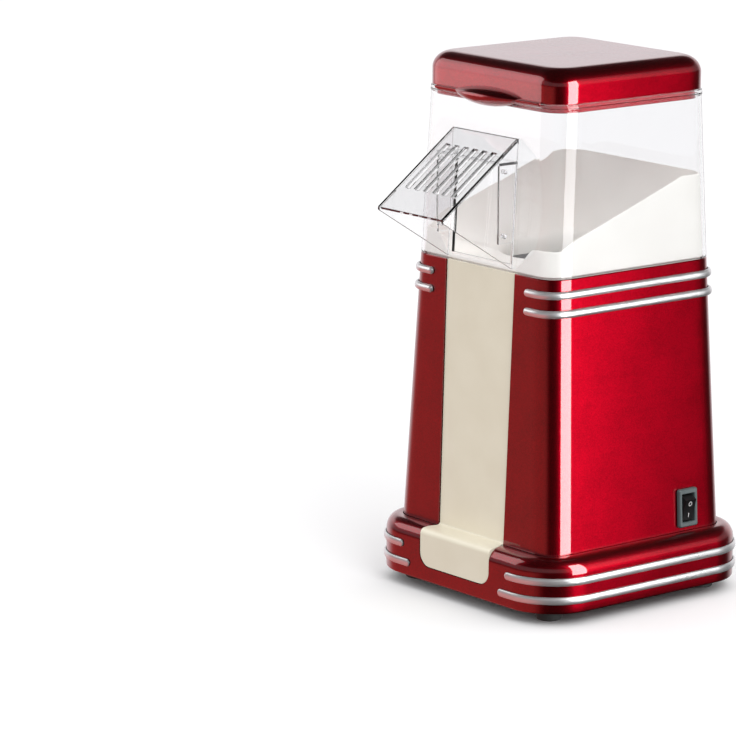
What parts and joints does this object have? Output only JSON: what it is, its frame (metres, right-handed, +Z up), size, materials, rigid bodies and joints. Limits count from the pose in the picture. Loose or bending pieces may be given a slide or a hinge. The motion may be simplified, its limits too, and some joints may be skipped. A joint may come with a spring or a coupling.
{
  "type": "popcorn maker",
  "caption": "Tower-shaped hot-air popcorn maker: red body on a wide plinth, clear hood with a front chute, lift-off lid, rocker switch, fan and heater inside.",
  "frame": {"origin": "on the floor under the middle of the bounding box; the tower's upright axis is 15.925 mm behind it, towards +Y", "axes": "+Z up, the front with the chute faces -Y, +X to the right seen from the front, with the switch"},
  "size_m": [0.1592, 0.1912, 0.303],
  "materials": {
    "red_paint": "metallic red lacquer, high gloss",
    "cream_plastic": "semi-gloss",
    "bright_strip": "satin chrome",
    "clear_plastic": "clear, polished",
    "black_rubber": "matt",
    "black_plastic": "fine texture",
    "grey_plastic": "fine texture",
    "chamber_aluminium": "spun",
    "plated_steel": "zinc plated",
    "mica_board": "layered mica",
    "heat_wire": "drawn, oxidised",
    "brass_terminal": "stamped",
    "circuit_board": "lacquered",
    "brown_wire": "satin",
    "blue_wire": "satin",
    "white_wire": "satin"
  },
  "bodies": {
    "housing": {"plinth": "red_paint", "tower_shell": "red_paint", "front_panel": "cream_plastic", "popcorn_slide": "cream_plastic", "tower_strip_upper": "bright_strip", "tower_strip_lower": "bright_strip", "plinth_strip_upper": "bright_strip", "plinth_strip_lower": "bright_strip", "foot_front_left": "black_rubber", "foot_front_right": "black_rubber", "foot_rear_left": "black_rubber", "foot_rear_right": "black_rubber", "bottom_plate": "black_plastic", "cord_gland": "black_plastic", "gland_nut": "black_plastic", "fan_housing": "black_plastic", "thermostat": "black_plastic", "switch_housing": "grey_plastic", "popping_chamber": "chamber_aluminium", "base_screw_front_left": "plated_steel", "base_screw_front_right": "plated_steel", "base_screw_rear_left": "plated_steel", "base_screw_rear_right": "plated_steel", "foot_screw_front_left": "plated_steel", "foot_screw_front_right": "plated_steel", "foot_screw_rear_left": "plated_steel", "foot_screw_rear_right": "plated_steel", "fan_screw_1": "plated_steel", "fan_screw_2": "plated_steel", "fan_screw_3": "plated_steel", "fan_screw_4": "plated_steel", "bridge_screw_1": "plated_steel", "bridge_screw_2": "plated_steel", "motor_screw_1": "plated_steel", "motor_screw_2": "plated_steel", "rocker_pin": "plated_steel", "motor": "plated_steel", "motor_bridge": "plated_steel", "air_duct": "plated_steel", "thermal_fuse": "plated_steel", "mica_board_x": "mica_board", "mica_board_y": "mica_board", "heating_coil": "heat_wire", "switch_terminal_1": "brass_terminal", "switch_terminal_2": "brass_terminal", "rectifier_board": "circuit_board", "supply_wire_brown": "brown_wire", "switched_wire_brown": "brown_wire", "supply_wire_blue": "blue_wire", "heater_wire_white": "white_wire"},
    "hood": {"hood": "clear_plastic", "chute": "clear_plastic"},
    "lid": {"lid": "red_paint"},
    "rocker": {"switch_rocker": "black_plastic"},
    "rotor": {"fan_impeller": "black_plastic", "motor_shaft": "plated_steel"}
  },
  "joints": [
    {"name": "hood_lift", "type": "slide", "parent": "housing", "child": "hood", "axis": [0, 0, 1], "range_m": [0, 0.12]},
    {"name": "lid_lift", "type": "slide", "parent": "hood", "child": "lid", "axis": [0, 0, 1], "range_m": [0, 0.06]},
    {"name": "switch_rock", "type": "hinge", "parent": "housing", "child": "rocker", "pos_m": [0.06476, 0.05133, 0.05067], "axis": [0, -1, 0], "range_deg": [0, 28]},
    {"name": "fan_spin", "type": "hinge", "parent": "housing", "child": "rotor", "pos_m": [0, 0.01593, 0.06], "axis": [0, 0, 1], "continuous": true}
  ]
}
